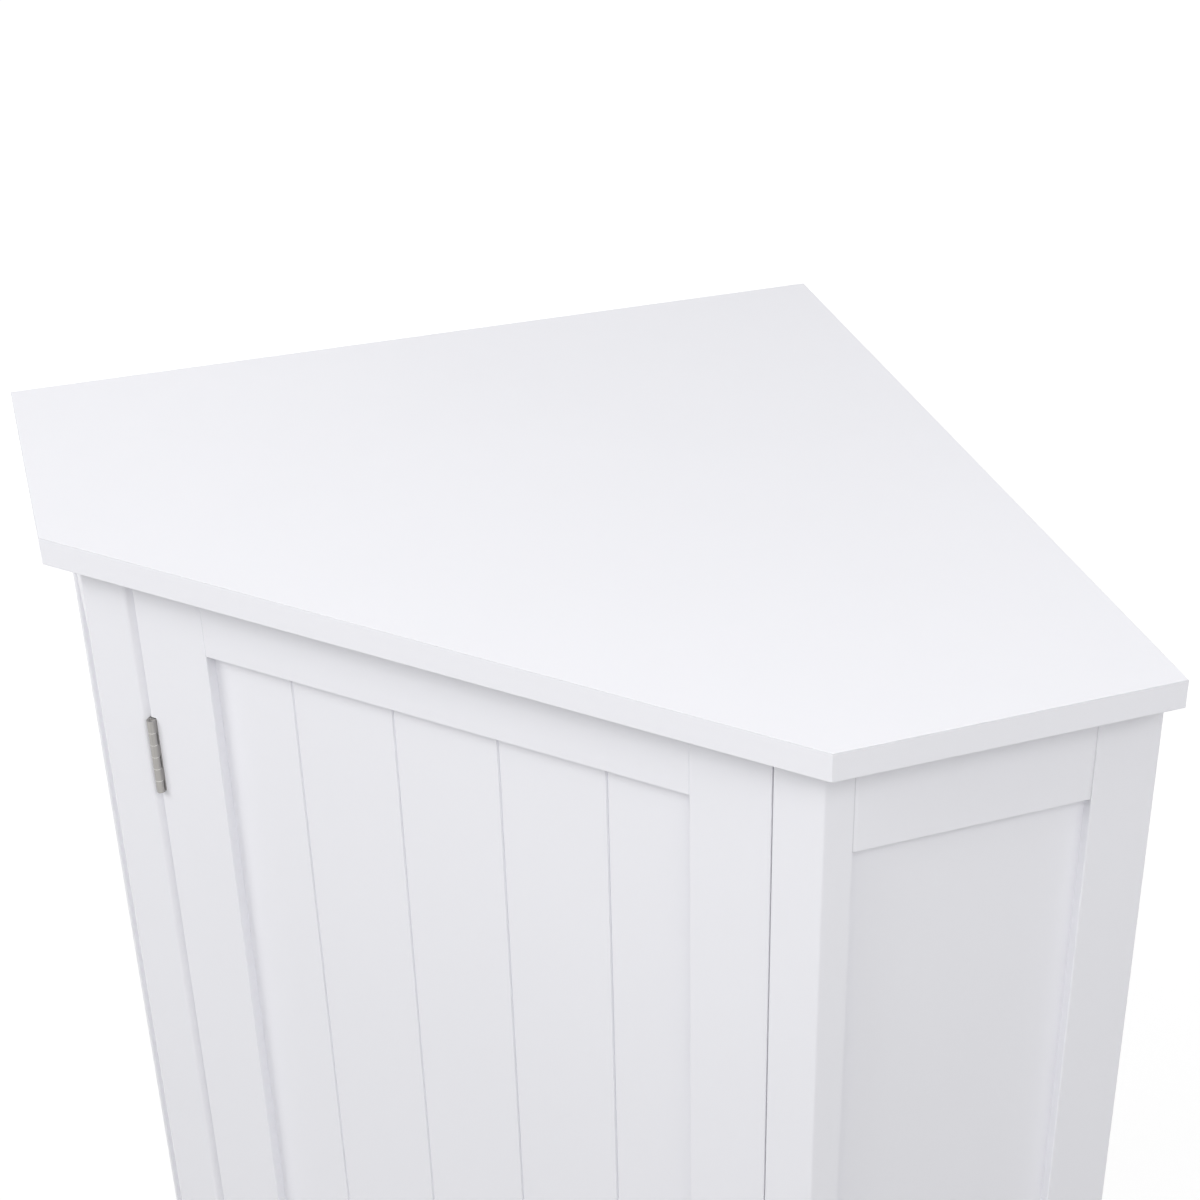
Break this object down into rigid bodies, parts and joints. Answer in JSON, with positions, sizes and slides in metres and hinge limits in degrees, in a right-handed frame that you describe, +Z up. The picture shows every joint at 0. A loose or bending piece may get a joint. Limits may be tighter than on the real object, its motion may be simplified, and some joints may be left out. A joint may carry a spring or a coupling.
{
  "type": "corner bathroom cabinet",
  "caption": "White painted corner cabinet with a five-sided top, panelled short sides, a plank-panelled hinged door, an adjustable shelf and legs with glides.",
  "frame": {"origin": "on the floor, under the middle of the box round the whole cabinet", "axes": "+Z up, -Y out of the door, the corner of the room on +Y, X across the door with the hinges on -X"},
  "size_m": [0.6506, 0.4546, 0.8],
  "materials": {
    "painted_board": "satin white paint on MDF",
    "painted_hardboard": "matt white paint on hardboard",
    "satin_nickel": "satin nickel plate",
    "zinc_steel": "bright zinc plate",
    "die_cast_zinc": "dull die-cast zinc",
    "white_plastic": "moulded",
    "grey_plastic": "moulded",
    "clear_coated_steel": "pressed, zinc plated",
    "ferrite": "sintered",
    "beech": "fluted, raw"
  },
  "bodies": {
    "root": {"top_panel": "painted_board", "bottom_panel": "painted_board", "adjustable_shelf": "painted_board", "left_front_post": "painted_board", "right_front_post": "painted_board", "left_back_stile": "painted_board", "right_back_stile": "painted_board", "left_side_top_rail": "painted_board", "right_side_top_rail": "painted_board", "left_side_bottom_rail": "painted_board", "right_side_bottom_rail": "painted_board", "left_side_panel": "painted_board", "right_side_panel": "painted_board", "rear_corner_post": "painted_board", "left_back_panel": "painted_hardboard", "right_back_panel": "painted_hardboard", "front_bottom_rail": "painted_board", "upper_hinge_post_leaf": "satin_nickel", "upper_hinge_pin": "satin_nickel", "lower_hinge_post_leaf": "satin_nickel", "lower_hinge_pin": "satin_nickel", "hinge_post_screws": "satin_nickel", "catch_case": "white_plastic", "catch_magnet": "ferrite", "catch_pole_plates": "zinc_steel", "catch_screws": "zinc_steel", "top_cam_locks": "die_cast_zinc", "top_cam_bolts": "zinc_steel", "top_dowels": "beech", "bottom_cam_locks": "die_cast_zinc", "bottom_cam_bolts": "zinc_steel", "bottom_dowels": "beech", "front_rail_dowels": "beech", "shelf_supports": "clear_coated_steel", "back_panel_nails": "zinc_steel", "foot_glides": "grey_plastic"},
    "door": {"door_left_stile": "painted_board", "door_right_stile": "painted_board", "door_top_rail": "painted_board", "door_bottom_rail": "painted_board", "door_panel": "painted_board", "door_knob": "satin_nickel", "knob_screw": "zinc_steel", "upper_hinge_door_leaf": "satin_nickel", "lower_hinge_door_leaf": "satin_nickel", "hinge_door_screws": "satin_nickel", "strike_plate": "zinc_steel", "strike_screw": "zinc_steel"}
  },
  "joints": [
    {"name": "door_hinge", "type": "hinge", "parent": "root", "child": "door", "pos_m": [-0.16664, -0.20288, 0.448], "axis": [0, 0, -1], "range_deg": [0, 160]}
  ]
}
